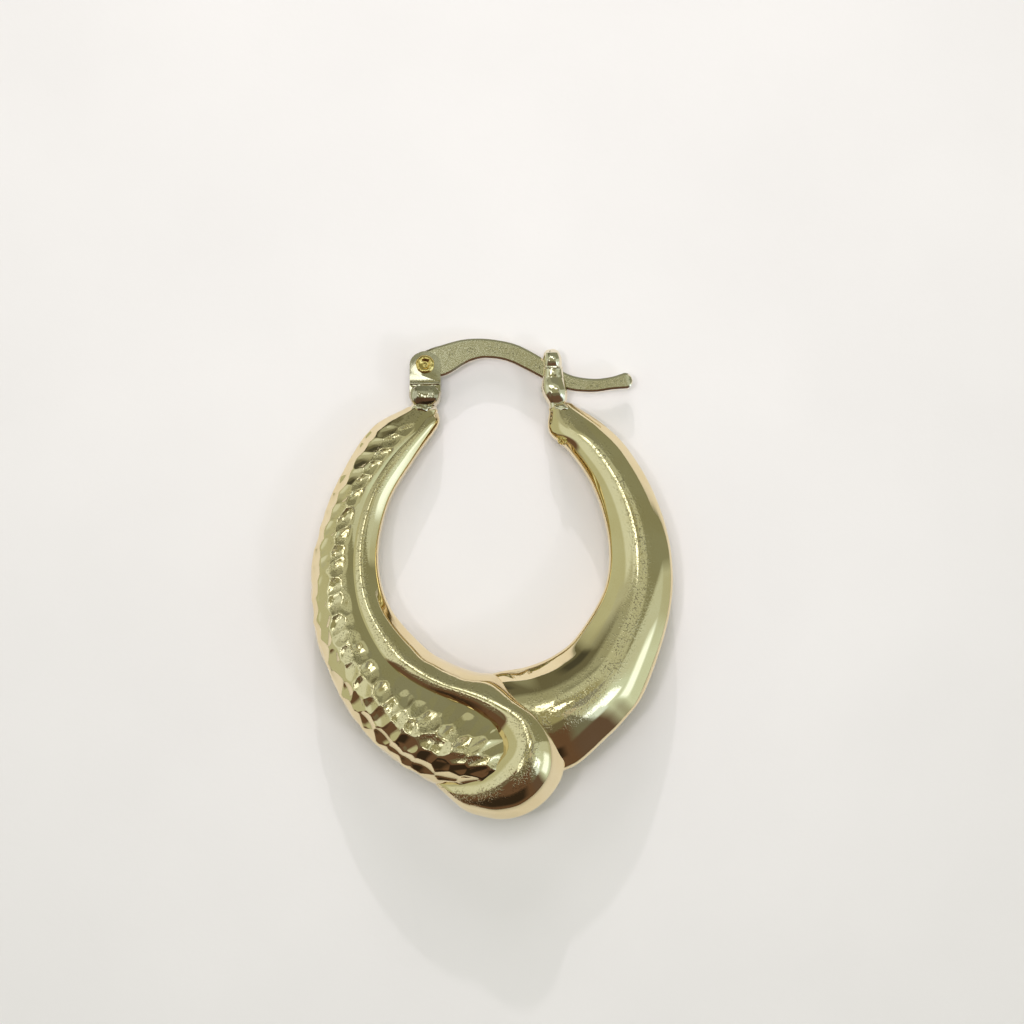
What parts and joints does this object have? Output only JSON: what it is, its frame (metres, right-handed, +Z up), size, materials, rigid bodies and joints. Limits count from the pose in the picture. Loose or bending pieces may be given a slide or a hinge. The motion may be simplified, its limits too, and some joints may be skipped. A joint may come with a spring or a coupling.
{
  "type": "interlocking hoop earring",
  "caption": "Oval hinged hoop earring: a hammered branch and a smooth branch interlock at the front; a flat curved ear arm closes from a riveted hinge into a forked catch.",
  "frame": {"origin": "on the surface the earring lies on, under the middle of its bounding box", "axes": "+Z up from the surface; +Y from the interlocking front towards the clasp and ear arm; +X from the hammered branch towards the smooth branch"},
  "size_m": [0.0244, 0.0324, 0.0066],
  "materials": {
    "polished_gold": "polished yellow gold, one branch hammered",
    "pale_gold": "rolled and rumbled pale gold strip",
    "rivet_gold": "bright rich gold, peened"
  },
  "bodies": {
    "hoop": {"hoop": "polished_gold", "hinge_rivet": "rivet_gold"},
    "arm": {"ear_arm": "pale_gold"}
  },
  "joints": [
    {"name": "arm_hinge", "type": "hinge", "parent": "hoop", "child": "arm", "pos_m": [-0.00456, 0.01435, 0.00109], "axis": [0, 0.0859, 0.9963], "range_deg": [0, 100]}
  ]
}
